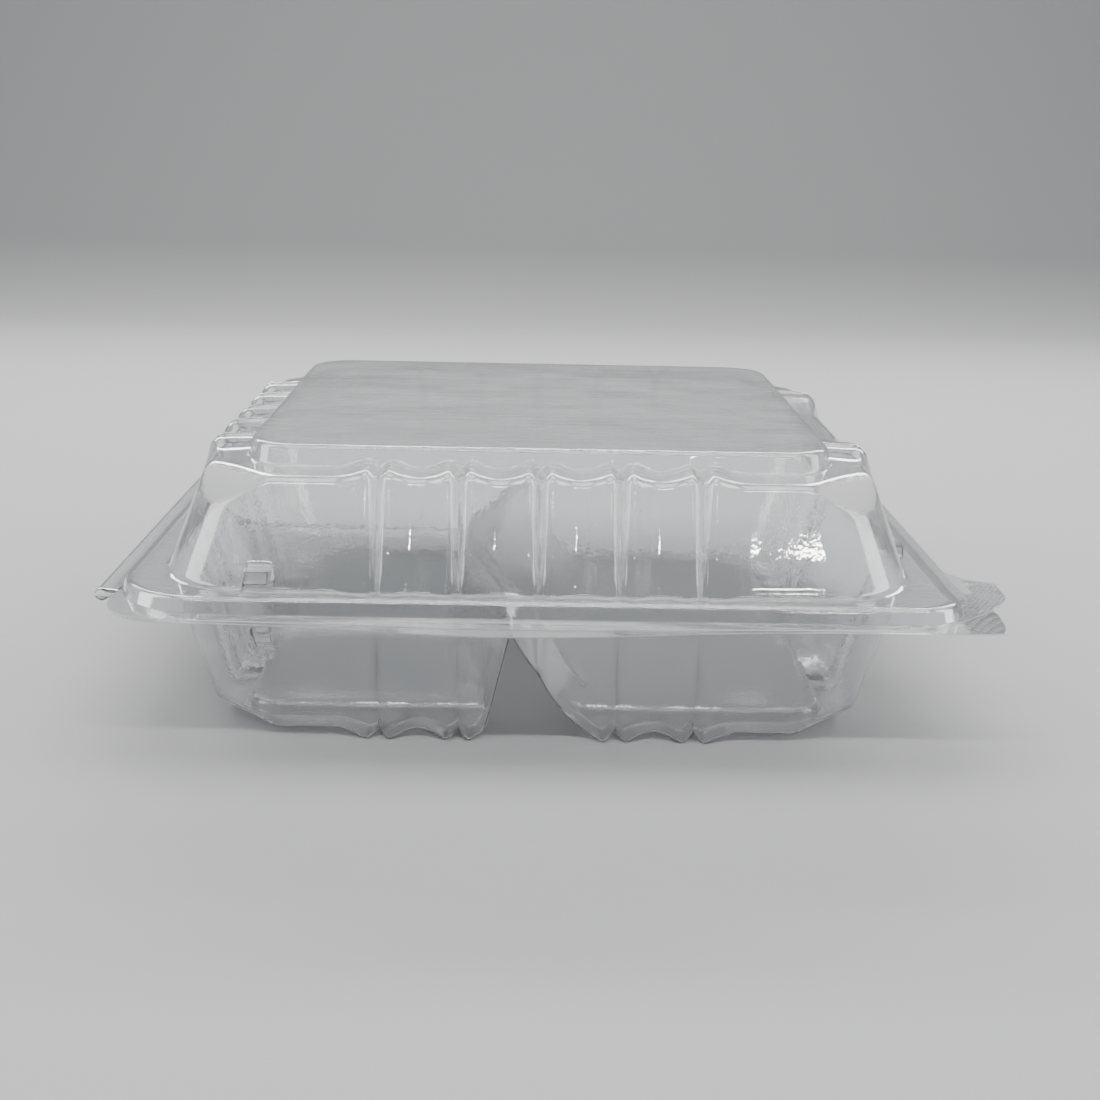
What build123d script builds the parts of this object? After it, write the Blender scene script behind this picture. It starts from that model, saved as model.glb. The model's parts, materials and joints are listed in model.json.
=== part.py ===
from build123d import *
import os
from math import cos, radians, sin, sqrt

# Clear hinged food pack with three compartments, thermoformed from one plastic sheet.
# Millimetres. X runs from the hinge (minus) to the opening edge (plus), Y along the hinge, Z up.
# The pack is drawn about the middle of its bowl, on the surface that it stands on, and is then moved
# along X so that the origin is under the middle of its whole outline, finger tab included.

# --- driving dimensions -------------------------------------------------------------------------
sheet = 0.35                # thickness of the formed sheet
nest_gap = 0.20             # air between the base's rim and the lid's rim where they nest

half_depth = 113.5          # flange, from the middle to its edge along Y
edge_open = 119.0           # flange edge on the opening side
edge_hinge = 114.8          # flange edge beside the hinge strip
flange_radius = 16.0

crease_x = 120.2            # the hinge crease, out from the middle
hinge_half_length = 93.0
hinge_roll = 1.3            # how far each leaf of the folded hinge bulges from the rim plane

base_depth = 39.0           # rim plane down to the underside of the base's outer ring
lid_height = 38.3           # rim plane up to the top of the stacking panel
rib_rise = 2.4              # how far the ribs stand out of the walls and ledges
rib_pitch = 22.0            # from one rib pair to the next
ridge_offset = 2.8          # from the groove of a rib pair to each of its two ridges
ridge_flat = 1.2            # width of a ridge's flat top, which is the foot under the base
rib_count = 5               # rib pairs on the front, back and hinge walls
rib_run_out = 13.0          # from the last groove to where its outer flank dies away
open_inner_run_out = 24.0   # the same on the opening wall, towards its plain middle

bead_inset = 4.8            # flange edge to the bottom of the locking bead
bead_draft = 1.2            # how far the bead's outer face leans in
bead_rise = 3.1             # rim plane to the flat land inside the bead
bead_hump = 0.8             # the bead's crown above that land
bead_crown = 2.7            # width of the crown
bead_radius = 13.0

foot_x = 104.3              # foot of the lid's wall, half sizes and corner radius
foot_y = 97.6
foot_radius = 25.0
ledge_inset = 10.8          # how far the lid's wall leans in from its foot to the ledge
ledge_drop = 6.3            # stacking panel's top down to the ledge
ledge_width = 10.6
corner_cut = 20.6           # legs of the sloping facet across each upper corner
facet_slope = 38.0          # degrees below horizontal
panel_radius = 16.0
panel_draft = 1.0

mouth_x = 103.6             # mouth of the base, half sizes and corner radius
mouth_y = 97.2
mouth_radius = 24.0
wall_lean_x = 12.1          # how far the base's walls lean in from mouth to bottom
wall_lean_y = 6.2
pad_inset = 9.2             # base's bottom edge to the raised floor
pad_rise = 3.3              # raised floor above the outer ring

divider_drop = 6.0          # rim plane down to the crest of the dividers
crest_half = 2.7            # half width of the dividers' flat crest
arm_mouth_x = -7.4          # where the arms meet the front and back walls
arm_mouth_drop = 9.4        # rim plane down to the arms' crest at those walls
arm_bend_y = 66.0           # where the arms turn towards the hinge
arm_skew = 0.26             # turn of the arms, X for each Y
arm_lean_hinge = 0.215      # flank of the arms on the hinge side, X for each Z
arm_lean_open = 0.62        # and on the opening side
stem_lean = 0.40            # flanks of the stem, Y for each Z

lug_width = 8.0             # stacking lugs at the foot of the lid's walls
lug_height = 6.2
lug_depth = 2.6
lug_front_x = -75.0
lug_open_y = 60.0
base_lug_top = 8.0          # rim plane down to the top of the base's lugs

tab_reach = 130.0           # tip of the lid's finger tab
tab_base_reach = 126.5      # tip of the base's finger tab
tab_near_y = 58.0           # where the lid's tab starts to flare
tab_far_y = 87.0            # far end of the tab's tip
tab_cut_x = 107.0           # where the tab's slanting edge meets the flange

# --- what follows from them ---------------------------------------------------------------------
rim_z = base_depth + rib_rise
ring_z = rib_rise
land_z = rim_z + bead_rise
crown_z = land_z + bead_hump
ledge_x = foot_x - ledge_inset
ledge_y = foot_y - ledge_inset
ledge_z = rim_z + lid_height - ledge_drop
panel_x = ledge_x - ledge_width
panel_y = ledge_y - ledge_width
panel_z = rim_z + lid_height
crest_z = rim_z - divider_drop
rib_end = (rib_count - 1) / 2 * rib_pitch + rib_run_out
skin = sheet * 1.06         # the sheet's thickness measured level, across a leaning wall
middle_x = (tab_reach - crease_x + sheet / 2) / 2


def ring_wire(z, x_hinge, x_open, y_half, radius):
    """Closed rounded rectangle at height z: four straight sides and four quarter arcs."""
    x0, x1, y1, r = -x_hinge, x_open, y_half, radius
    k = r * (1 - 1 / sqrt(2))
    arcs = [
        [(x1 - r, -y1), (x1 - k, -y1 + k), (x1, -y1 + r)],
        [(x1, y1 - r), (x1 - k, y1 - k), (x1 - r, y1)],
        [(x0 + r, y1), (x0 + k, y1 - k), (x0, y1 - r)],
        [(x0, -y1 + r), (x0 + k, -y1 + k), (x0 + r, -y1)],
    ]
    edges = []
    for i, arc in enumerate(arcs):
        pts = [Vector(x, y, z) for x, y in arc]
        after = Vector(*arcs[(i + 1) % 4][0], z)
        edges.append(Edge.make_three_point_arc(*pts))
        edges.append(Edge.make_line(pts[2], after))
    return Wire(edges)


def frustum(low, high):
    """Solid between two rounded rectangles, each (z, x_hinge, x_open, y_half, radius)."""
    return Solid.make_loft([ring_wire(*low), ring_wire(*high)], True)


def rib_stations(centres, run_low, run_high):
    """Places across a wall and how far it stands out there: 1 on a ridge, 0 in a groove or scallop."""
    stations = [(centres[0] - run_low, 0)]
    near, far = ridge_offset - ridge_flat / 2, ridge_offset + ridge_flat / 2
    for i, c in enumerate(centres):
        stations += [(c - far, 1), (c - near, 1), (c, 0), (c + near, 1), (c + far, 1)]
        if i + 1 < len(centres):
            stations.append(((c + centres[i + 1]) / 2, 0))
    stations.append((centres[-1] + run_high, 0))
    return stations


def rib_slab(side, stations, foot, edge, inner):
    """Ribbed skin of one wall and its ledge, as a ruled solid that sinks into the plain body.

    foot, edge and inner are (distance from the middle, height, outward rise, upward rise) of the
    wall's foot, of the corner where wall and ledge meet, and of the ledge's inner end. The corner's
    section lies in the slanting plane that halves the angle between wall and ledge.
    """
    sink = 5.0
    up = 1 if edge[1] > foot[1] else -1

    def place(u, w, z):
        x, y = {"front": (u, -w), "back": (u, w), "hinge": (-w, u), "open": (w, u)}[side]
        return Vector(x, y, z)

    def section(level, sink_in, sink_down):
        w, z, out, rise = level
        pts = [place(u, w + m * out, z + m * rise * up) for u, m in stations]
        for u in (stations[-1][0], stations[0][0]):
            pts.append(place(u, w - sink_in, z - sink_down * up))
        return Wire.make_polygon(pts, close=True)

    return Solid.make_loft(
        [section(foot, sink, 0), section(edge, sink, sink), section(inner, 0, sink)], True
    )


def ribbed_body(plain, foot, edge, inner):
    """Adds the ribs of all four walls to a plain body.

    foot, edge and inner are (half size in X, half size in Y, height, outward rise, upward rise).
    """
    middle = (rib_count - 1) / 2
    every = [(i - middle) * rib_pitch for i in range(rib_count)]
    outer = middle * rib_pitch
    runs = {
        "front": [rib_stations(every, rib_run_out, rib_run_out)],
        "back": [rib_stations(every, rib_run_out, rib_run_out)],
        "hinge": [rib_stations(every, rib_run_out, rib_run_out)],
        "open": [
            rib_stations([-outer], rib_run_out, open_inner_run_out),
            rib_stations([outer], open_inner_run_out, rib_run_out),
        ],
    }
    body = plain
    for side, groups in runs.items():
        pick = 1 if side in ("front", "back") else 0
        levels = [(lv[pick],) + lv[2:] for lv in (foot, edge, inner)]
        for stations in groups:
            body = body.fuse(rib_slab(side, stations, *levels))
    return body


def facet_cutters(x_half, y_half, z, up, grow):
    """Four blocks that cut a sloping facet across the corners of a ledge. up is 1 on the lid, -1 below."""
    cutters = []
    slope = radians(facet_slope)
    for sx in (-1, 1):
        for sy in (-1, 1):
            middle = Vector(sx * (x_half - corner_cut / 2), sy * (y_half - corner_cut / 2), z)
            outward = Vector(sx, sy, 0).normalized()
            normal = outward * sin(slope) + Vector(0, 0, up * cos(slope))
            plane = Plane(origin=middle + normal * grow, x_dir=Vector(-sy, sx, 0), z_dir=normal)
            downhill = plane.to_local_coords(plane.origin + outward)
            shift = 40 if downhill.Y > 0 else -40
            cutters.append(plane.location * Pos(0, shift, 20) * Box(70, 80, 40))
    return cutters


# --- rims: flange, locking bead, land, hinge leaf and finger tab ------------------------------------
def bead_level(z, lean, grow):
    """Outline of the bead's outer face at height z. grow makes it larger all round."""
    return (
        z,
        edge_hinge - bead_inset / 3 - lean + grow,
        edge_open - bead_inset - lean + grow,
        half_depth - bead_inset - lean + grow,
        bead_radius - lean + grow,
    )


def bead_block(bottom, top, grow):
    """The raised bead as a solid, with the shallow land sunk into its top."""
    block = frustum(bead_level(bottom, 0, grow), bead_level(top, bead_draft, grow))
    inset = bead_draft + bead_crown
    hinge_side = edge_hinge - bead_inset / 3 - bead_draft + grow
    low = bead_level(top - bead_hump, inset + bead_hump, -grow)
    high = bead_level(top + 1, inset - 1, -grow)
    low = (low[0], hinge_side + 1) + low[2:]
    high = (high[0], hinge_side + 3) + high[2:]
    return block.cut(frustum(low, high))


def hinge_leaf(side):
    """Half of the folded hinge: the sheet bulges away from the rim plane and returns to the crease."""
    root = rim_z + side * nest_gap / 2
    outer = crease_x - sheet / 2
    mid = (edge_hinge + outer) / 2
    top = root + side * (hinge_roll + sheet)
    profile = [
        (-edge_hinge + 2, root),
        (-edge_hinge, root),
        (-mid, root + side * hinge_roll),
        (-outer, root),
        (-outer, root + side * sheet),
        (-mid, top),
        (-edge_hinge, root + side * sheet),
        (-edge_hinge + 2, root + side * sheet),
    ]
    pts = [Vector(x, -hinge_half_length, z) for x, z in profile]
    face = Face(Wire.make_polygon(pts, close=True))
    return Solid.extrude(face, Vector(0, 2 * hinge_half_length, 0))


def flat_plate(points, bottom):
    face = Face(Wire.make_polygon([Vector(x, y, bottom) for x, y in points], close=True))
    return Solid.extrude(face, Vector(0, 0, sheet))


def lid_tab(bottom):
    """Tab on the front corner: it flares out of the opening edge and ends in a slanting front edge."""
    return flat_plate(
        [
            (edge_open - 14, -tab_near_y),
            (edge_open, -tab_near_y),
            (edge_open + 3.2, -tab_near_y - 7),
            (edge_open + 7, -tab_near_y - 13),
            (tab_reach - 1, -tab_near_y - 15),
            (tab_reach, -tab_near_y - 17),
            (tab_reach, -tab_far_y),
            (tab_cut_x, -half_depth + bead_inset - 1),
            (tab_cut_x - 6, -half_depth + bead_inset + 6),
        ],
        bottom,
    )


def base_tab(bottom):
    """The base's tab lies under the lid's and reaches further towards the front."""
    return flat_plate(
        [
            (edge_open - 6, -tab_far_y + 12),
            (edge_open, -tab_far_y + 6),
            (tab_base_reach, -tab_far_y - 3),
            (tab_base_reach - 3, -half_depth + 6),
            (tab_base_reach - 5, -half_depth + 1.5),
            (tab_base_reach - 8, -half_depth),
            (tab_cut_x - 2, -half_depth),
            (tab_cut_x - 2, -half_depth + 10),
        ],
        bottom,
    )


def lid_corner_trim():
    """What is cut off the lid's flange in front of the tab's slanting edge."""
    pts = [
        (tab_reach + 5, -tab_far_y + 5 * (half_depth - tab_far_y) / (tab_reach - tab_cut_x)),
        (tab_cut_x, -half_depth + bead_inset - 1),
        (tab_cut_x - 4, -half_depth - 5),
        (tab_reach + 5, -half_depth - 5),
    ]
    face = Face(Wire.make_polygon([Vector(x, y, rim_z - 2) for x, y in pts], close=True))
    return Solid.extrude(face, Vector(0, 0, 4))


# --- lid ------------------------------------------------------------------------------------------
def lid_body(grow):
    """The space under the lid's wall, ledge, ribs and stacking panel, made larger by grow."""
    side = grow * 1.06
    foot_z = land_z - 1.0
    plain = frustum(
        (foot_z, foot_x + side, foot_x + side, foot_y + side, foot_radius + side),
        (ledge_z + grow, ledge_x + side, ledge_x + side, ledge_y + side, corner_cut + side),
    )
    body = ribbed_body(
        plain,
        (foot_x + side, foot_y + side, foot_z, rib_rise / 3, 0),
        (ledge_x + side, ledge_y + side, ledge_z + grow, rib_rise, rib_rise),
        (panel_x - 1, panel_y - 1, ledge_z + grow, 0, rib_rise),
    )
    for cutter in facet_cutters(ledge_x, ledge_y, ledge_z, 1, grow):
        body = body.cut(cutter)
    panel = frustum(
        (ledge_z - 3, panel_x + side, panel_x + side, panel_y + side, panel_radius + side),
        (
            panel_z - sheet + grow,
            panel_x - panel_draft + side,
            panel_x - panel_draft + side,
            panel_y - panel_draft + side,
            panel_radius - panel_draft + side,
        ),
    )
    return body.fuse(panel)


def lug_block(grow, x, y, size_x, size_y, bottom, top):
    """A stacking lug with a flat top, larger by grow on its free sides."""
    low = Box(size_x + 2 * grow, size_y + 2 * grow, top - bottom)
    return Pos(x, y, (top + bottom) / 2) * low


def lid_lugs(grow):
    lugs = []
    top = land_z + lug_height + grow
    for sy in (-1, 1):
        y = sy * (foot_y - 1.5)
        lugs.append(lug_block(grow, lug_front_x, y, lug_width, 2 * lug_depth, land_z - 1, top))
        x = foot_x - 1.5
        lugs.append(lug_block(grow, x, sy * lug_open_y, 2 * lug_depth, lug_width, land_z - 1, top))
    return lugs


def make_lid():
    under = rim_z + nest_gap / 2
    flange = frustum(
        (under, edge_hinge, edge_open, half_depth, flange_radius),
        (under + sheet, edge_hinge, edge_open, half_depth, flange_radius),
    )
    shell = flange.fuse(lid_tab(under)).cut(lid_corner_trim())
    shell = shell.fuse(bead_block(under, crown_z + nest_gap / 2 + sheet, 0), hinge_leaf(1))
    shell = shell.cut(bead_block(under - 1, crown_z + nest_gap / 2, -skin))
    outside = lid_body(sheet)
    for lug in lid_lugs(sheet):
        outside = outside.fuse(lug)
    inside = lid_body(0)
    for lug in lid_lugs(0):
        inside = inside.fuse(lug)
    floor = Pos(0, 0, land_z + nest_gap / 2 - 10) * Box(400, 400, 20)
    return shell.fuse(outside.cut(floor)).cut(inside)


# --- base -----------------------------------------------------------------------------------------
def divider_void(grow):
    """The hollow under the dividers: two arms that meet the front and back walls, and a stem.

    Its section is a narrow crest with leaning flanks. grow makes it larger, for the upper skin.
    """
    bottom = -5.0
    side = grow * 1.06

    def arm_section(y, centre, crest, half):
        top = crest + grow
        drop = top - bottom
        x0, x1 = centre - half - side, centre + half + side
        pts = [(x0, top), (x1, top), (x1 + arm_lean_open * drop, bottom), (x0 - arm_lean_hinge * drop, bottom)]
        return Wire.make_polygon([Vector(x, y, z) for x, z in pts], close=True)

    wall = mouth_y + 8
    apex_x = arm_mouth_x - arm_skew * arm_bend_y
    mouth_z = rim_z - arm_mouth_drop
    sections = []
    for sy in (-1, 1):
        sections.append(
            Solid.make_loft(
                [
                    arm_section(sy * wall, arm_mouth_x, mouth_z, 0.2),
                    arm_section(sy * (mouth_y - 4), arm_mouth_x, mouth_z, 0.3),
                    arm_section(sy * arm_bend_y, arm_mouth_x, crest_z, crest_half),
                    arm_section(0, apex_x, crest_z, crest_half),
                ],
                True,
            )
        )
    top = crest_z + grow
    drop = top - bottom
    half = crest_half + side
    stem_pts = [(-half, top), (half, top), (half + stem_lean * drop, bottom), (-half - stem_lean * drop, bottom)]
    face = Face(Wire.make_polygon([Vector(apex_x, y, z) for y, z in stem_pts], close=True))
    stem = Solid.extrude(face, Vector(-mouth_x - 8 - apex_x, 0, 0))
    return sections[0].fuse(sections[1]).fuse(stem)


def base_body(grow, top):
    """The bowl of the base, from its mouth to its bottom ring, larger by grow, with its ribs."""
    side = grow * 1.06
    low_x = mouth_x - wall_lean_x + side
    low_y = mouth_y - wall_lean_y + side
    low_z = ring_z + sheet - grow
    plain = frustum(
        (low_z, low_x, low_x, low_y, corner_cut + side),
        (top, mouth_x + side, mouth_x + side, mouth_y + side, mouth_radius + side),
    )
    body = ribbed_body(
        plain,
        (mouth_x + side, mouth_y + side, top, rib_rise / 4, 0),
        (low_x, low_y, low_z, rib_rise, rib_rise),
        (low_x - pad_inset - 1, low_y - pad_inset - 1, low_z, 0, rib_rise),
    )
    x_edge = mouth_x - wall_lean_x
    y_edge = mouth_y - wall_lean_y
    for cutter in facet_cutters(x_edge, y_edge, ring_z + sheet, -1, grow):
        body = body.cut(cutter)
    return body


def floor_void(grow):
    """The space under the raised floor, larger by grow."""
    x = mouth_x - wall_lean_x - pad_inset
    y = mouth_y - wall_lean_y - pad_inset
    top = ring_z + pad_rise + grow
    return frustum(
        (-5, x + grow, x + grow, y + grow, panel_radius - 4 + grow),
        (top, x + grow, x + grow, y + grow, panel_radius - 4 + grow),
    )


def base_lugs(grow):
    lugs = []
    top = rim_z - base_lug_top
    for sy in (-1, 1):
        y = sy * (mouth_y - 1.0)
        lugs.append(lug_block(grow, lug_front_x, y, lug_width, lug_depth, top - lug_height - grow, top + grow))
    return lugs


def make_base():
    over = rim_z - nest_gap / 2
    crown = crown_z - nest_gap / 2
    flange = frustum(
        (over - sheet, edge_hinge, edge_open, half_depth, flange_radius),
        (over, edge_hinge, edge_open, half_depth, flange_radius),
    )
    shell = flange.fuse(base_tab(over - sheet))
    shell = shell.fuse(bead_block(over - sheet, crown, -skin - nest_gap), hinge_leaf(-1))
    shell = shell.cut(bead_block(over - sheet - 1, crown - sheet, -2 * skin - nest_gap))
    land_top = crown - bead_hump
    outside = base_body(sheet, land_top)
    for lug in base_lugs(sheet):
        outside = outside.fuse(lug)
    inside = base_body(0, land_top + 0.5)
    for lug in base_lugs(0):
        inside = inside.fuse(lug)
    inside = inside.cut(divider_void(sheet)).cut(floor_void(sheet))
    outside = outside.cut(divider_void(0)).cut(floor_void(0))
    return shell.fuse(outside).cut(inside)


os.makedirs("parts", exist_ok=True)
for name, solid in (("base_tray", make_base()), ("lid", make_lid())):
    solid = solid.moved(Pos(-middle_x, 0, 0))
    solid.label = name
    export_step(solid, f"parts/{name}.step")
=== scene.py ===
import bmesh
import bpy
import json
import numpy as np
from math import radians
from mathutils import Matrix, Vector


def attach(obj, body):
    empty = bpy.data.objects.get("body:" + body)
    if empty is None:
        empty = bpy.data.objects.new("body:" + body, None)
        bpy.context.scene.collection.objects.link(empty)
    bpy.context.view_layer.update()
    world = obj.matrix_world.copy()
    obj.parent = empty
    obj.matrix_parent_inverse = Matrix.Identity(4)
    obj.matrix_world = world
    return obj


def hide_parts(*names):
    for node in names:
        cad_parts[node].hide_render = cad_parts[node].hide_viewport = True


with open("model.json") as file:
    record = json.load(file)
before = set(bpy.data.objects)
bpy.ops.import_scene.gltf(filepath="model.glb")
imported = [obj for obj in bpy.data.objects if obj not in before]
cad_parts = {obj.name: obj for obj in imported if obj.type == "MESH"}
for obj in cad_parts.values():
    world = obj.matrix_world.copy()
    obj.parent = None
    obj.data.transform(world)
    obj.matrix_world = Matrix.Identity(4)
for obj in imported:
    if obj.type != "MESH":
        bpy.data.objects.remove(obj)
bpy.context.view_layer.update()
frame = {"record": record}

# --- Studio -------------------------------------------------------------------------------------
# A pale paper sweep carries the pack: flat under it, then rising in one smooth curve behind it.
# The camera stands a little to the left of the middle and looks down on the lid.
paper_width = 4.0
paper_front = -1.4
paper_back = 0.75
paper_bend = 0.55
paper_top = 1.9
paper_colour = (0.40, 0.405, 0.415, 1.0)

camera_place = Vector((-0.0087, -0.4826, 0.1688))
camera_turn = radians(0.958)
camera_tilt = radians(16.13)
camera_roll = radians(1.246)
camera_lens = 49.39


def paper_sweep():
    """A profile in Y and Z (floor, quarter circle, wall) carried straight along X."""
    turn = np.linspace(0, np.pi / 2, 25)
    y = np.r_[paper_front, paper_back + paper_bend * np.sin(turn), paper_back + paper_bend]
    z = np.r_[0.0, paper_bend * (1 - np.cos(turn)), paper_top]
    n = len(y)
    left = np.c_[np.full(n, -paper_width / 2), y, z]
    right = np.c_[np.full(n, paper_width / 2), y, z]
    i = np.arange(n - 1)
    faces = np.c_[i, i + n, i + n + 1, i + 1]
    mesh = bpy.data.meshes.new("paper")
    mesh.from_pydata(np.r_[left, right].tolist(), [], faces.tolist())
    mesh.shade_smooth()
    return mesh


paper = bpy.data.objects.new("paper", paper_sweep())
bpy.context.collection.objects.link(paper)
paper_look = bpy.data.materials.new("paper")
paper_look.use_nodes = True
paper_look.node_tree.nodes["Principled BSDF"].inputs["Base Color"].default_value = paper_colour
paper_look.node_tree.nodes["Principled BSDF"].inputs["Roughness"].default_value = 0.9
paper.data.materials.append(paper_look)

camera = bpy.data.objects.new("camera", bpy.data.cameras.new("camera"))
camera.data.lens = camera_lens
camera.data.sensor_width = 36.0
camera.data.clip_start = 0.01
forward = Vector((
    np.sin(camera_turn) * np.cos(camera_tilt),
    np.cos(camera_turn) * np.cos(camera_tilt),
    -np.sin(camera_tilt),
))
level = Vector((np.cos(camera_turn), -np.sin(camera_turn), 0.0))
upright = level.cross(forward)
right = level * np.cos(camera_roll) + upright * np.sin(camera_roll)
above = upright * np.cos(camera_roll) - level * np.sin(camera_roll)
camera.matrix_world = Matrix((
    (right.x, above.x, -forward.x, camera_place.x),
    (right.y, above.y, -forward.y, camera_place.y),
    (right.z, above.z, -forward.z, camera_place.z),
    (0, 0, 0, 1),
))
bpy.context.collection.objects.link(camera)
bpy.context.scene.camera = camera


def soft_light(name, place, aim, width, height, power):
    """A rectangular soft box at place, turned towards aim."""
    light = bpy.data.lights.new(name, "AREA")
    light.shape = "RECTANGLE"
    light.size = width
    light.size_y = height
    light.energy = power
    box = bpy.data.objects.new(name, light)
    box.location = place
    box.rotation_euler = (Vector(aim) - Vector(place)).to_track_quat("-Z", "Y").to_euler()
    light.color = (1.0, 0.985, 0.96)
    bpy.context.collection.objects.link(box)


soft_light("top_light", (0.0, 0.10, 1.2), (0, 0, 0), 1.2, 0.9, 11.0)
soft_light("back_strip", (0.0, 0.66, 0.50), (0, 0, 0.05), 1.5, 0.07, 11.0)
soft_light("front_strip", (0.0, -0.72, 0.95), (0, 0, 0.05), 1.3, 0.05, 9.0)
soft_light("left_panel", (-0.80, -0.12, 0.42), (0, 0, 0.05), 0.34, 0.9, 5.5)
soft_light("right_panel", (0.80, -0.12, 0.42), (0, 0, 0.05), 0.34, 0.9, 5.5)
soft_light("front_spot", (0.27, -1.0, 0.48), (0, 0, 0.05), 0.06, 0.025, 1.0)

world = bpy.data.worlds.new("studio")
world.use_nodes = True
world.node_tree.nodes["Background"].inputs["Color"].default_value = (0.60, 0.65, 0.72, 1)
world.node_tree.nodes["Background"].inputs["Strength"].default_value = 0.20
bpy.context.scene.world = world

# --- Lid ------------------------------------------------------------------------------------------
# The lid is a shallow dome of clear plastic sheet: a locking bead, a flat land, leaning fluted walls,
# a ledge with sloping corner facets, and a raised panel. It is drawn hot over a mould, which leaves
# shallow ripples and fine draw lines in it and turns it milky at the sharp corners.
sheet = 0.35
rim_z = 41.4
nest_gap = 0.20
crease_x = 120.2
hinge = frame["record"]["behaviour"]["joints"][0]["pos_m"]
middle_x = -crease_x - 1000 * hinge[0]


def surface_group():
    """Node group: Height is ripples plus a fine grain and draw lines along X, Gloss is the
    roughness that the ripples leave."""
    group = bpy.data.node_groups.new("formed_sheet", "ShaderNodeTree")
    group.interface.new_socket("Height", in_out="OUTPUT", socket_type="NodeSocketFloat")
    group.interface.new_socket("Gloss", in_out="OUTPUT", socket_type="NodeSocketFloat")
    nodes, links = group.nodes, group.links
    place = nodes.new("ShaderNodeTexCoord")
    ripple = nodes.new("ShaderNodeTexNoise")
    ripple.inputs["Scale"].default_value = 40.0
    ripple.inputs["Detail"].default_value = 1.0
    stretch = nodes.new("ShaderNodeMapping")
    stretch.inputs["Scale"].default_value = (0.05, 1.0, 0.4)
    lines = nodes.new("ShaderNodeTexNoise")
    lines.inputs["Scale"].default_value = 380.0
    lines.inputs["Detail"].default_value = 0.0
    grain = nodes.new("ShaderNodeTexNoise")
    grain.inputs["Scale"].default_value = 900.0
    grain.inputs["Detail"].default_value = 1.0
    less = nodes.new("ShaderNodeMath")
    less.operation = "MULTIPLY"
    less.inputs[1].default_value = 0.07
    fine = nodes.new("ShaderNodeMath")
    fine.operation = "MULTIPLY_ADD"
    fine.inputs[1].default_value = 0.16
    both = nodes.new("ShaderNodeMath")
    both.operation = "ADD"
    gloss = nodes.new("ShaderNodeMapRange")
    gloss.inputs["From Min"].default_value = 0.3
    gloss.inputs["From Max"].default_value = 0.7
    gloss.inputs["To Min"].default_value = 0.004
    gloss.inputs["To Max"].default_value = 0.03
    out = nodes.new("NodeGroupOutput")
    links.new(place.outputs["Object"], ripple.inputs["Vector"])
    links.new(place.outputs["Object"], grain.inputs["Vector"])
    links.new(place.outputs["Object"], stretch.inputs["Vector"])
    links.new(stretch.outputs["Vector"], lines.inputs["Vector"])
    links.new(lines.outputs["Fac"], less.inputs[0])
    links.new(grain.outputs["Fac"], fine.inputs[0])
    links.new(less.outputs[0], fine.inputs[2])
    links.new(ripple.outputs["Fac"], both.inputs[0])
    links.new(fine.outputs[0], both.inputs[1])
    links.new(ripple.outputs["Fac"], gloss.inputs["Value"])
    links.new(both.outputs[0], out.inputs["Height"])
    links.new(gloss.outputs["Result"], out.inputs["Gloss"])
    return group


formed_sheet = surface_group()
frosted_gloss = 0.34
wave_repeat = 0.3142


def clear_plastic(name, clear, bump_depth, inside=False):
    """Clear plastic: clear is the share of light that it passes, the rest is a milky haze. The
    sheet's milk, 0 to 1, frosts it. Inside, the same ripples are turned round, so that the sheet
    keeps its thickness and what is behind it stays sharp."""
    look = bpy.data.materials.new(name)
    look.use_nodes = True
    nodes, links = look.node_tree.nodes, look.node_tree.links
    skin = nodes["Principled BSDF"]
    skin.inputs["Base Color"].default_value = (0.97, 0.98, 0.99, 1)
    skin.inputs["Metallic"].default_value = 0.0
    skin.inputs["Transmission Weight"].default_value = clear
    skin.inputs["IOR"].default_value = 1.57
    formed = nodes.new("ShaderNodeGroup")
    formed.node_tree = formed_sheet
    bump = nodes.new("ShaderNodeBump")
    bump.inputs["Strength"].default_value = 1.0
    bump.inputs["Distance"].default_value = bump_depth
    bump.invert = inside
    links.new(formed.outputs["Height"], bump.inputs["Height"])
    links.new(bump.outputs["Normal"], skin.inputs["Normal"])
    milk = nodes.new("ShaderNodeAttribute")
    milk.attribute_name = "milk"
    frost = nodes.new("ShaderNodeMath")
    frost.operation = "MULTIPLY_ADD"
    frost.inputs[1].default_value = frosted_gloss
    links.new(milk.outputs["Fac"], frost.inputs[0])
    links.new(formed.outputs["Gloss"], frost.inputs[2])
    links.new(frost.outputs[0], skin.inputs["Roughness"])
    return look


clear_sheet = clear_plastic("clear_sheet", 0.955, 0.00012)
milky_sheet = clear_plastic("milky_sheet", 0.82, 0.0002)
clear_inside = clear_plastic("clear_inside", 0.955, 0.00012, inside=True)
cut_edge = clear_plastic("cut_edge", 0.45, 0.0002)


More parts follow.
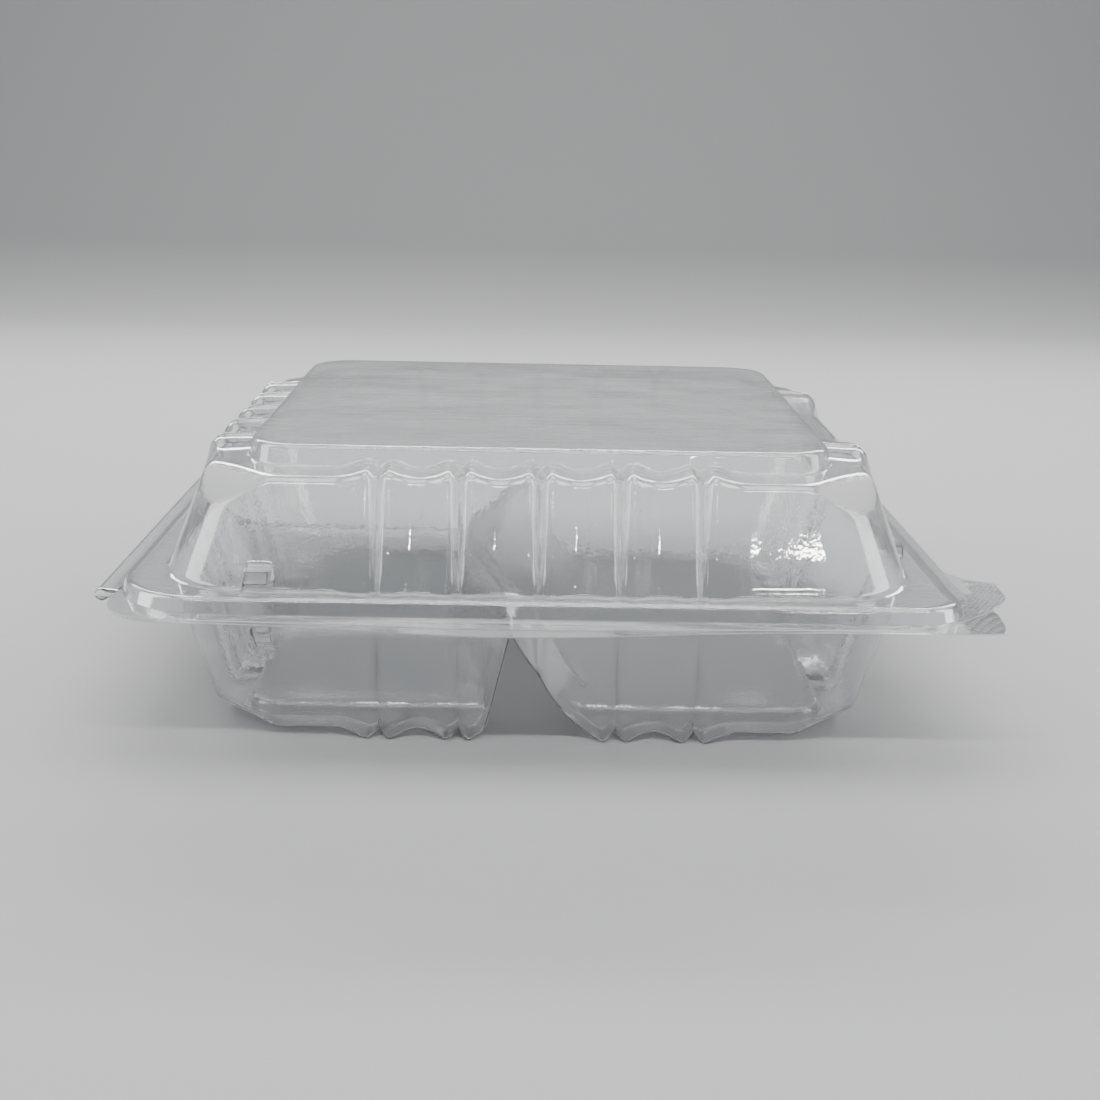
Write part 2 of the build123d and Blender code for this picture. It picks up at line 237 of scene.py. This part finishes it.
def knurled_plastic(name, pitch):
    """The clear sheet pressed between two sets of crossing grooves, pitch metres apart. Its base
    colour is darkened along the grooves as painted shade for the light that they bend away.
    """
    look = clear_plastic(name, 0.74, 0.0012)
    nodes, links = look.node_tree.nodes, look.node_tree.links
    place = nodes.new("ShaderNodeTexCoord")
    turned = nodes.new("ShaderNodeMapping")
    turned.inputs["Rotation"].default_value = (0, 0, radians(32))
    links.new(place.outputs["Object"], turned.inputs["Vector"])
    crossed = nodes.new("ShaderNodeMath")
    crossed.operation = "MULTIPLY"
    for i, direction in enumerate(("X", "Y")):
        grooves = nodes.new("ShaderNodeTexWave")
        grooves.bands_direction = direction
        grooves.inputs["Scale"].default_value = wave_repeat / pitch
        links.new(turned.outputs["Vector"], grooves.inputs["Vector"])
        links.new(grooves.outputs["Fac"], crossed.inputs[i])
    bump = next(n for n in nodes if n.type == "BUMP")
    links.new(crossed.outputs[0], bump.inputs["Height"])
    # Painted shade: the base colour goes from near white to a grey blue along the crossing grooves,
    # standing in for the light that the grooves refract away.
    painted_groove_shade = nodes.new("ShaderNodeMix")
    painted_groove_shade.data_type = "RGBA"
    painted_groove_shade.inputs[6].default_value = (0.62, 0.65, 0.69, 1)
    painted_groove_shade.inputs[7].default_value = (0.98, 0.98, 0.99, 1)
    links.new(crossed.outputs[0], painted_groove_shade.inputs["Factor"])
    links.new(painted_groove_shade.outputs[2], nodes["Principled BSDF"].inputs["Base Color"])
    return look


fine_grip = knurled_plastic("fine_grip", 0.0013)
coarse_grip = knurled_plastic("coarse_grip", 0.0022)

# The lid's plan, which the base shares: a rounded rectangle whose walls are fluted by pairs of ridges
# with a sharp groove between them. The flutes line up from the lid's ledge to the feet of the base.
rib_pitch = 22.0
rib_groove = 2.8
rib_end_run = 13.0
rib_plain_run = 24.0
every_rib = np.arange(-2, 3) * rib_pitch
straight = 60.0
corner_cut = 20.6
facet_drop = np.tan(radians(38.0))
FRONT, OPEN, BACK, HINGE = range(4)
rib_steps = np.array([0.0, 1.0, 2.0, 2.8, 3.6, 5.0, 6.6, 8.6, 11.0])
mouth_steps = np.r_[np.arange(-14.6, -8.2, 1.0), -7.9, -7.4, -6.9]
plain_places = np.array([-57.0, -14.5, 14.5, 57.0])
least_step = 0.35
end_steps = np.array([
    0.13, 0.26, 0.39, 0.5, 0.58, 0.62, 0.66, 0.72, 0.78, 0.84, 0.872, 0.892, 0.93, 0.965, 1.0,
])
corner_turn = (np.arange(16) + 0.5) / 16


def side_stations():
    """Places along one side: a fixed stretch in mm about the middle, then shares of what is left."""
    ribs = every_rib[:, None] + np.r_[-rib_steps[:0:-1], rib_steps]
    fixed = np.unique(np.r_[ribs.ravel(), mouth_steps, plain_places, straight, -straight].round(3))
    keep = np.r_[True, np.diff(fixed) > least_step]
    fixed = fixed[keep]
    return (
        np.r_[np.full(len(end_steps), -straight), fixed, np.full(len(end_steps), straight)],
        np.r_[-end_steps[::-1], np.zeros(len(fixed)), end_steps],
    )


def flutes(along, centres, runs):
    """Ridge height along a side, 0 to 1: rises linearly out of each groove, then falls away as the
    1.7th power of the distance left to the end of its flank, softened where the two meet."""
    height = np.zeros(len(along))
    for centre, (low, high) in zip(centres, runs):
        d = along - centre
        run = np.where(d < 0, low, high)
        rise = np.abs(d) / rib_groove
        fall = np.clip((run - np.abs(d)) / (run - rib_groove), 0, None) ** 1.7
        crest = np.clip(0.8 - np.abs(rise - fall), 0, None) ** 2 / 3.2
        height = np.maximum(height, np.where(fall > 0, np.minimum(rise, fall) - crest, 0) / 0.8)
    return np.clip(height, 0, 1)


stretch, beyond = side_stations()
half_pitch = rib_pitch / 2
all_runs = [(rib_end_run, half_pitch)] + [(half_pitch, half_pitch)] * 3 + [(half_pitch, rib_end_run)]
wall_ribs = flutes(stretch, every_rib, all_runs)
open_runs = [(rib_end_run, rib_plain_run), (rib_plain_run, rib_end_run)]
open_ribs = flutes(stretch, every_rib[[0, -1]], open_runs)
side_of = []
stretch_of = []
beyond_of = []
angle_of = []
ribs_of = []
for side in (FRONT, OPEN, BACK, HINGE):
    order = slice(None) if side in (FRONT, OPEN) else slice(None, None, -1)
    count = len(stretch)
    side_of += [side] * (count + len(corner_turn))
    stretch_of += list(stretch[order]) + [0.0] * len(corner_turn)
    beyond_of += list(beyond[order]) + [0.0] * len(corner_turn)
    angle_of += [np.nan] * count + list((side - 1 + corner_turn) * np.pi / 2)
    ribs_of += list((open_ribs if side == OPEN else wall_ribs)[order]) + [0.0] * len(corner_turn)
side_of, stretch_of, beyond_of, angle_of, ribs_of = map(
    np.array, (side_of, stretch_of, beyond_of, angle_of, ribs_of)
)
in_corner = ~np.isnan(angle_of)
side_normal = np.array([(0, -1), (1, 0), (0, 1), (-1, 0)])[side_of].astype(float)
outward = np.where(in_corner[:, None], np.c_[np.cos(angle_of), np.sin(angle_of)], side_normal)
at_hinge_end = (side_of == HINGE) | ((side_of != OPEN) & (beyond_of < 0))
hingeward = np.where(in_corner, side_of >= BACK, at_hinge_end)


def outline(hinge_half, open_half, depth_half, radius, wider):
    """Rounded rectangles, one per entry: every station's X and Y. Side stations slide along the
    straight stretch, corner stations turn about the centre of their arc. The hinge side's corners
    have a radius wider by the last value."""
    h, o, d = (np.asarray(v, float)[:, None] for v in (hinge_half, open_half, depth_half))
    r = np.asarray(radius, float)[:, None] + np.asarray(wider, float)[:, None] * hingeward
    s, b = stretch_of, beyond_of
    reach_x = np.where(b > 0, o - r, h - r) - straight
    along_x = s + b * reach_x
    along_y = s + b * (d - r - straight)
    x = np.select(
        [in_corner & (side_of <= OPEN), in_corner, side_of == OPEN, side_of == HINGE],
        [o - r + r * outward[:, 0], -h + r + r * outward[:, 0], o + 0 * s, -h + 0 * s],
        along_x,
    )
    y = np.select(
        [
            in_corner & ((side_of == FRONT) | (side_of == HINGE)),
            in_corner,
            side_of == FRONT,
            side_of == BACK,
        ],
        [-d + r + r * outward[:, 1], d - r + r * outward[:, 1], -d + 0 * s, d + 0 * s],
        along_y,
    )
    return x, y


def rounded_levels(rows, cuts, steps):
    """A run of levels through rows, each corner replaced by a quadratic curve that leaves the run
    cuts[i] mm before it and rejoins it as far after. steps[i] levels fill the stretch after row i."""
    rows = np.asarray(rows, float)
    gap = np.linalg.norm(np.diff(rows[:, [2, 4]], axis=0), axis=1)
    levels = [rows[:1]]
    leave = rows[0]
    for i in range(1, len(rows)):
        last = i == len(rows) - 1
        before = 0 if last else min(0.5, cuts[i] / gap[i - 1])
        enter = rows[i] + (rows[i - 1] - rows[i]) * before
        t = np.linspace(0, 1, steps[i - 1] + 1)[1:, None]
        levels.append(leave + (enter - leave) * t)
        if not last and cuts[i] > 0:
            leave = rows[i] + (rows[i + 1] - rows[i]) * min(0.5, cuts[i] / gap[i])
            t = np.array([0.25, 0.5, 0.75, 1.0])[:, None]
            levels.append(enter * (1 - t) ** 2 + rows[i] * 2 * t * (1 - t) + leave * t ** 2)
        else:
            leave = rows[i]
    return np.vstack(levels)


def soft_min(a, b, blend):
    """The lower of two heights, with the crease between them rounded over blend mm."""
    h = np.clip(0.5 + 0.5 * (b - a) / blend, 0, 1)
    return b + (a - b) * h - blend * h * (1 - h)


def bump_between(value, low, high, edge):
    """1 between low and high, 0 outside, with a smooth step of width edge at each end."""
    up = np.clip((value - low) / edge + 0.5, 0, 1)
    down = np.clip((high - value) / edge + 0.5, 0, 1)
    return (up * up * (3 - 2 * up)) * (down * down * (3 - 2 * down))


def skirt(x_in, y_in, x_out, y_out, shares):
    """Levels of the flat flange, from its outer edge in to the foot of the bead."""
    v = np.asarray(shares)[:, None]
    return x_out + (x_in - x_out) * v, y_out + (y_in - y_out) * v


def grid_faces(rows, columns):
    """Quads of a grid whose columns close into a ring."""
    i = np.arange(rows - 1)[:, None] * columns
    j = np.arange(columns)
    k = (j + 1) % columns
    return np.stack([i + j, i + k, i + columns + k, i + columns + j], axis=-1).reshape(-1, 4)


def formed_piece(name, points, polygons, slots, milk, looks):
    """A sheet: the given outer skin, thickened inwards, with smooth faces and sharp cut edges. The
    last two looks are those of its inner side and of its sheared edge."""
    mesh = bpy.data.meshes.new(name)
    mesh.from_pydata(((points - (middle_x, 0, 0)) / 1000).tolist(), [], polygons)
    mesh.attributes.new("milk", "FLOAT", "POINT").data.foreach_set("value", milk.astype(np.float32))
    mesh.polygons.foreach_set("material_index", slots.astype(np.int32))
    joined = bmesh.new()
    joined.from_mesh(mesh)
    bmesh.ops.remove_doubles(joined, verts=joined.verts, dist=4e-6)
    joined.to_mesh(mesh)
    joined.free()
    for look in looks:
        mesh.materials.append(look)
    count = len(mesh.polygons)
    piece = bpy.data.objects.new(name, mesh)
    bpy.context.collection.objects.link(piece)
    wall = piece.modifiers.new("wall", "SOLIDIFY")
    wall.thickness = sheet / 1000
    wall.offset = -1
    scene_now = bpy.context.evaluated_depsgraph_get()
    solid = bpy.data.meshes.new_from_object(piece.evaluated_get(scene_now))
    piece.modifiers.clear()
    piece.data = solid
    bpy.data.meshes.remove(mesh)
    solid.name = name
    all_slots = np.empty(len(solid.polygons), np.int32)
    solid.polygons.foreach_get("material_index", all_slots)
    all_slots[count:] = len(looks) - 2
    all_slots[2 * count:] = len(looks) - 1
    solid.polygons.foreach_set("material_index", all_slots)
    solid.shade_smooth()
    solid.set_sharp_from_angle(angle=radians(48))
    return piece


# The lid is trimmed to a narrow flat flange, as the base is. On the hinge side the sheet is rolled up
# into half of a soft fold, and on the front corner it runs out into a finger tab with a knurled grip.
flange_open = 119.0
flange_hinge = 114.8
flange_depth = 113.5
flange_radius = 16.0
bead_radius = 13.6
bead_wider = 11.4
hinge_half_length = 93.0
tab_inset = 0.03
flange_shares = np.array([0.0, 0.04, 0.2, 0.36, 0.52, 0.68, 0.84, 1.0])
fold_places = np.array([0.0, 0.06, 0.18, 0.30, 0.42, 0.52, 0.75, 1.0])
fold_heights = np.array([0.0, 0.65, 1.15, 1.30, 1.00, 0.25, 0.0, 0.0])
fold_slides = np.array([0.0, 0.0, 0.0, 0.0, 0.0, 0.0, 0.5, 1.0])


def tab_outline(side_y, side_x, turns, reaches):
    """Outer edge of the trimmed flange: the rounded rectangle, pulled out to a tab. side_x is read
    at each Y of the opening side, and reaches at each angle about the corner's centre."""
    x, y = outline([flange_hinge], [flange_open], [flange_depth], [flange_radius], [0.0])
    x, y = x[0].copy(), y[0].copy()
    on_side = (side_of == OPEN) & ~in_corner
    x[on_side] = np.interp(y[on_side], side_y, side_x)
    arc = in_corner & (side_of == FRONT)
    reach = np.interp(np.degrees(angle_of[arc]), turns, reaches)
    x[arc] = flange_open - flange_radius + reach * outward[arc, 0]
    arc_y = -flange_depth + flange_radius + reach * outward[arc, 1]
    y[arc] = np.maximum(arc_y, -flange_depth + tab_inset)
    folded = (side_of == HINGE) & ~in_corner & (np.abs(y) < hinge_half_length)
    x[folded] = -crease_x + sheet / 2
    return x, y, folded


def flange_levels(edge, foot_x, foot_y, height, up):
    """The flange as eight levels between its edge and the foot of the bead. On the hinge side the
    same levels run over the roll of the fold. up is 1 for the lid and -1 for the base."""
    edge_x, edge_y, folded = edge
    x, y = skirt(foot_x, foot_y, edge_x, edge_y, flange_shares)
    fold_x, _ = skirt(foot_x, foot_y, edge_x, edge_y, fold_places)
    _, fold_y = skirt(foot_x, foot_y, edge_x, edge_y, fold_slides)
    x, y = np.where(folded, fold_x, x), np.where(folded, fold_y, y)
    z = height + up * np.where(folded, fold_heights[:, None], 0.0)
    return x, y, z


# The lid's section, from the foot of the bead to the panel, with half sizes and corner radii in mm.
lid_top = 79.7
lid_ledge = 73.2
lid_skin = rim_z + nest_gap / 2 + sheet
land_z = rim_z + 3.1 + nest_gap / 2 + sheet
bead_z = land_z + 0.8
ledge_half = (93.5, 86.8)
#    hinge  open   depth  radius            height           out  up  facet wider
lid_rows = [
    (114.0, 114.4, 108.9, bead_radius, lid_skin, 0.0, 0.0, 0, bead_wider),
    (112.8, 113.2, 107.7, bead_radius - 1.2, bead_z, 0.0, 0.0, 0, bead_wider),
    (111.6, 110.7, 105.2, bead_radius - 3.2, bead_z, 0.0, 0.0, 0, bead_wider),
    (110.6, 109.3, 103.8, bead_radius - 4.0, land_z, 0.0, 0.0, 0, bead_wider),
    (104.3, 104.3, 97.6, 25.0, land_z, 2.0, 0.0, 0, 0.0),
    (101.7, 101.7, 95.0, 23.9, 51.8, 2.2, 0.4, 1, 0.0),
    (ledge_half[0], ledge_half[0], ledge_half[1], corner_cut, lid_ledge, 2.4, 2.4, 1, 0.0),
    (82.6, 82.6, 75.9, 14.5, lid_ledge + 0.7, 0.0, 2.2, 1, 0.0),
    (81.8, 81.8, 74.9, 14.0, lid_top, 0.0, 0.0, 0, 0.0),
    (78.2, 78.2, 71.3, 10.6, lid_top, 0.0, 0.0, 0, 0.0),
]
lid_cuts = [0, 1.3, 1.0, 0.7, 1.4, 0.0, 2.2, 1.0, 1.5, 0]
lid_steps = [1, 1, 1, 3, 8, 12, 5, 2, 2]
tab_length = 11.0
lid_tab_y = (-97.5, -95.6, -90.5, -86.9, -74.0, -72.5, -71.8, -66.2, -60.5)
lid_tab_x = (120.8, 122.9, 127.6, 129.2, 129.6, 129.1, 125.9, 122.2, 119.0)
lid_tab_turns = (-90, -83, -73, -53, -38, -24, -10, 0)
lid_tab_reach = (16.0, 14.2, 12.1, 11.3, 12.0, 13.2, 14.8, 17.8)
lid_tab_lift = 1.3
lid_droop = 1.6
lid_droop_from = 108.5
grip_start = np.array([110.0, -104.6])
grip_outward = np.array([0.901, -0.434])
grip_margin = 0.4
lid_grip_end = -62.0
facet_lift = 0.2
facet_blend = 0.9
facet_frost = 0.35
facet_edge = 1.2
lug_half = 4.0
lug_edge = 1.2
lug_along_front = -75.6
lug_along_open = 60.0
lug_foot = 46.2
lug_top = 50.9
lug_middle = 47.0
lug_out = 2.3
wall_lean = 0.36
wall_bow = 1.6
bow_half = 90.0
bow_top = 50.0


def frosting(z, facet_z, away):
    """How milky the sheet is: 1 on a corner facet, fading out within about half a millimetre of
    height off it, and towards its level edge."""
    near = np.clip(1.6 - np.abs(z - facet_z) / facet_frost, 0, 1)
    return near * np.clip(away / facet_edge, 0, 1)


def lug_at(along, centre, side):
    """Where a lug stands on a wall, 0 to 1: on the opening side, or on both front and back."""
    on_side = side_of == OPEN if side == OPEN else (side_of == FRONT) | (side_of == BACK)
    return on_side * bump_between(along, centre - lug_half, centre + lug_half, lug_edge)


def past_corner(x, y, half):
    """Distance outwards past the upper edge of the corner facets of a ledge of the given half size."""
    over = np.abs(x) - (half[0] - corner_cut / 2) + np.abs(y) - (half[1] - corner_cut / 2)
    return over / np.sqrt(2)


def lid_surface():
    """The lid's outer skin. Each level is a rounded rectangle, pushed out and up where a ridge
    crosses it, cut down by the corner facets, and closed by a point in the middle of the panel."""
    levels = rounded_levels(lid_rows, lid_cuts, lid_steps)
    h, o, d, r, z, out, up, facet, wider = levels.T
    x, y = outline(h, o, d, r, wider)
    z = np.repeat(z[:, None], len(side_of), axis=1)
    edge = tab_outline(lid_tab_y, lid_tab_x, lid_tab_turns, lid_tab_reach)
    on_wall = bump_between(z, lug_foot, lug_top, 1.0) * (facet[:, None] + out[:, None] > 0.5)
    lugs = on_wall * (lug_at(x, lug_along_front, FRONT) + lug_at(np.abs(y), lug_along_open, OPEN))
    lug = lugs * (lug_out + (z - lug_middle) * wall_lean)
    push = out[:, None] * ribs_of + lug
    x = x + push * outward[:, 0]
    y = y + push * outward[:, 1]
    bow = np.clip(1 - (x / bow_half) ** 2, 0, 1) * bump_between(z, land_z - 0.5, bow_top, 9.0)
    y = y + wall_bow * bow * (out[:, None] > 0.3) * outward[:, 1]
    z = z + up[:, None] * ribs_of
    away = past_corner(x, y, ledge_half)
    facet_z = lid_ledge + facet_lift - facet_drop * away
    z = np.where(facet[:, None] > 0.5, soft_min(z, facet_z, facet_blend), z)
    milky = (facet[:, None] > 0.5) * frosting(z, facet_z, away)
    flat = flange_levels(edge, x[0], y[0], lid_skin, 1)
    x, y, z = np.vstack([flat[0][:-1], x]), np.vstack([flat[1][:-1], y]), np.vstack([flat[2][:-1], z])
    milky = np.vstack([np.zeros((len(flange_shares) - 1, len(side_of))), milky])
    return x, y, z, milky


def droop(x, y, z, depth, inner):
    """The unsupported front flange sags: most in the middle, nothing at the foot of the bead. Its
    edge comes in a little as it goes down."""
    outer = np.clip((-y - inner) / (flange_depth - inner), 0, 1)
    sag = depth * outer * np.exp(-(((x + 8) / 52) ** 2))
    return y + 0.14 * sag, z - sag


def tab_lift(x, z, lift):
    """The finger tab bends away from its neighbour towards its tip: the lift times the 1.3rd power
    of the share of the tab's length."""
    return z + lift * np.clip((x - flange_open) / tab_length, 0, 1) ** 1.3


x, y, z, milky = lid_surface()
y, z = droop(x, y, z, lid_droop, lid_droop_from)
z = tab_lift(x, z, lid_tab_lift)
rows, columns = x.shape
points = np.c_[x.ravel(), y.ravel(), z.ravel()]
rings = [points[-columns:] * (share, share, 1) for share in (0.7, 0.35)]
points = np.vstack([points] + rings + [[(0, 0, lid_top)]])
faces = grid_faces(rows + len(rings), columns)
last = (rows + len(rings) - 1) * columns
round_last = np.arange(columns)
fan = np.c_[last + round_last, last + (round_last + 1) % columns, np.full(columns, last + columns)]
at = np.c_[x[:-1].ravel(), y[:-1].ravel()]
on_flange = np.arange(len(at)) < (len(flange_shares) - 1) * columns
past_line = (at - grip_start) @ grip_outward > grip_margin
grip = on_flange & past_line & (at[:, 0] > grip_start[0]) & (at[:, 1] < lid_grip_end)
slots = np.zeros(len(faces) + columns, int)
slots[: len(at)][milky[:-1].ravel() > 0.9] = 1
slots[: len(at)][grip] = 2
milk = np.r_[milky.ravel(), np.zeros(len(points) - milky.size)]
polygons = faces.tolist() + fan.tolist()

lid_looks = [clear_sheet, milky_sheet, fine_grip, clear_inside, cut_edge]
lid = formed_piece("clear_lid", points, polygons, slots, milk, lid_looks)
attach(lid, "lid")
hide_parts("lid")

# --- Base -----------------------------------------------------------------------------------------
# The base is a deep tray: a bead that nests in the lid's, fluted walls that end in small feet, a
# floor raised inside its outer ring, and hollow dividers, two arms and a stem, open from below.
base_skin = rim_z - nest_gap / 2 - sheet
base_bead = bead_z - nest_gap - 2 * sheet
base_land = base_bead - 0.8
ring_z = 2.4
floor_z = 5.7
floor_half = 72.0
bottom_half = (91.5, 91.0)
base_rows = [
    (113.4, 113.6, 108.1, bead_radius - 0.8, base_skin, 0.0, 0.0, 0, bead_wider),
    (112.3, 112.5, 107.0, bead_radius - 1.9, base_bead, 0.0, 0.0, 0, bead_wider),
    (112.0, 111.2, 105.7, bead_radius - 2.8, base_bead, 0.0, 0.0, 0, bead_wider),
    (111.2, 109.9, 104.4, bead_radius - 3.6, base_land, 0.0, 0.0, 0, bead_wider),
    (103.6, 103.6, 97.2, 24.0, base_land, 0.6, 0.0, 1, 0.0),
    (100.8, 100.8, 95.8, 23.2, 34.6, 1.1, 0.0, 1, 0.0),
    (98.4, 98.4, 94.6, 22.6, 26.4, 1.5, 0.0, 1, 0.0),
    (bottom_half[0], bottom_half[0], bottom_half[1], corner_cut, ring_z, 2.2, -2.4, 1, 0.0),
    (83.4, 83.4, 82.0, 12.6, ring_z, 0.0, -2.4, 1, 0.0),
    (82.7, 82.7, 81.3, 12.0, floor_z, 0.0, 0.0, 1, 0.0),
    (floor_half, floor_half, floor_half, 0.0, floor_z, 0.0, 0.0, 1, 0.0),
]
base_cuts = [0, 0.8, 0.6, 0.5, 1.6, 0, 0, 2.4, 1.0, 1.0, 0]
base_steps = [1, 1, 1, 2, 2, 5, 6, 2, 1, 2]
base_tab_y = (-97.5, -91.5, -84.0, -78.0)
base_tab_x = (125.2, 126.1, 123.0, 119.0)
base_tab_turns = (-90, -74, -65, -50, -45, -38, -27, -5, 0)
base_tab_reach = (16.0, 16.7, 17.6, 21.0, 22.6, 23.2, 22.4, 22.0, 22.2)
base_tab_lift = -3.4
base_droop = 3.0
base_droop_from = 107.0
base_grip_x = 112.5
base_grip_y = -84.0
base_lug_foot = 27.4
base_lug_top = 33.4
base_lug_out = 1.8
crest_z = 35.4
crest_half = 2.7
arm_mouth_x = -7.4
arm_bend_y = 66.0
arm_skew = 0.26
arm_end_run = 27.0
arm_end_drop = 3.4
arm_end_narrower = 2.4
arm_lean_hinge = 0.215
arm_lean_open = 0.62
arm_reach = (-17.0, 14.5)
stem_end_x = 78.0
stem_end_run = 26.0
stem_end_rise = 2.4
stem_lean = 0.40
divider_fillet = 6.5


def arm_centre(y):
    """Centre of the arms at each Y: straight in from the wall, then slanting to the hinge side."""
    return arm_mouth_x - arm_skew * np.clip(arm_bend_y - np.abs(y), 0, None)


def divider_height(x, y):
    """Underside of the dividers: leaning flanks under a narrow crest, the arms joined by a stem. The
    arms' crest drops and narrows to a point where it meets the front and back walls."""
    near_wall = np.clip((np.abs(y) - arm_bend_y) / arm_end_run, 0, 1)
    crest = crest_z - arm_end_drop * near_wall
    half = crest_half - arm_end_narrower * near_wall
    d = x - arm_centre(y)
    hinge_flank = crest + (d + half) / arm_lean_hinge
    open_flank = crest - (d - half) / arm_lean_open
    arms = soft_min(soft_min(crest, hinge_flank, 1.2), open_flank, 1.6)
    rise = np.clip((-x - stem_end_x) / stem_end_run, 0, 1) ** 2
    stem_crest = crest_z + stem_end_rise * rise
    flank = stem_crest - (np.abs(y) - crest_half - 0.6 * rise) / stem_lean
    stem = np.where(d <= 0, soft_min(stem_crest, flank, 1.4), -50.0)
    return -soft_min(-arms, -stem, 2.5)


def base_surface():
    """The tray's outer skin down to a square inside the floor's edge, raised by the dividers."""
    levels = rounded_levels(base_rows, base_cuts, base_steps)
    h, o, d, r, z, out, up, inner, wider = levels.T
    x, y = outline(h, o, d, r, wider)
    z = np.repeat(z[:, None], len(side_of), axis=1)
    lug_zone = bump_between(z, base_lug_foot, base_lug_top, lug_edge)
    lug = base_lug_out * lug_zone * lug_at(x, lug_along_front, FRONT)
    push = out[:, None] * ribs_of + lug
    x = x + push * outward[:, 0]
    y = y + push * outward[:, 1]
    z = z + up[:, None] * ribs_of
    away = past_corner(x, y, bottom_half)
    facet_z = ring_z - facet_lift + facet_drop * away
    inside = inner[:, None] > 0.5
    lifted = -soft_min(-z, -facet_z, facet_blend)
    milky = inside * frosting(lifted, facet_z, away)
    z = np.where(inside, lifted, z)
    z = np.where(inside, -soft_min(-z, -divider_height(x, y), divider_fillet), z)
    edge = tab_outline(base_tab_y, base_tab_x, base_tab_turns, base_tab_reach)
    flat = flange_levels(edge, x[0], y[0], base_skin, -1)
    x, y, z = np.vstack([flat[0][:-1], x]), np.vstack([flat[1][:-1], y]), np.vstack([flat[2][:-1], z])
    milky = np.vstack([np.zeros((len(flange_shares) - 1, len(side_of))), milky])
    return x, y, z, milky


def floor_grid(ring_x, ring_y):
    """The floor inside the square, as columns that slide sideways to run along the slanting arms."""
    n = len(stretch)
    columns = ring_x[:n]
    rows = ring_y[n + len(corner_turn): 2 * n + len(corner_turn)]
    across, deep = np.meshgrid(columns, rows)
    hold = np.interp(across, (-floor_half, *arm_reach, floor_half), (0, 1, 1, 0))
    x = across + hold * (arm_centre(deep) - arm_mouth_x)
    z = -soft_min(-np.full_like(x, floor_z), -divider_height(x, deep), divider_fillet)
    i = np.arange(n - 1)[:, None] * n + np.arange(n - 1)
    quads = np.stack([i, i + 1, i + n + 1, i + n], axis=-1).reshape(-1, 4)
    return np.c_[x.ravel(), deep.ravel(), z.ravel()], quads


x, y, z, milky = base_surface()
floor_points, floor_quads = floor_grid(x[-1], y[-1])
y, z = droop(x, y, z, base_droop, base_droop_from)
z = tab_lift(x, z, base_tab_lift)
rows, columns = x.shape
points = np.vstack([np.c_[x.ravel(), y.ravel(), z.ravel()], floor_points])
faces = np.vstack([grid_faces(rows, columns), floor_quads + rows * columns])[:, ::-1]
at = np.c_[x[:-1].ravel(), y[:-1].ravel()]
on_flange = np.arange(len(at)) < (len(flange_shares) - 1) * columns
grip = on_flange & (at[:, 0] > base_grip_x) & (at[:, 1] < base_grip_y)
slots = np.zeros(len(faces), int)
slots[: len(at)][milky[:-1].ravel() > 0.9] = 1
slots[: len(at)][grip] = 2
milk = np.r_[milky.ravel(), np.zeros(len(floor_points))]
base_looks = [clear_sheet, milky_sheet, coarse_grip, clear_inside, cut_edge]
base = formed_piece("clear_base", points, faces.tolist(), slots, milk, base_looks)
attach(base, "base")
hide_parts("base_tray")
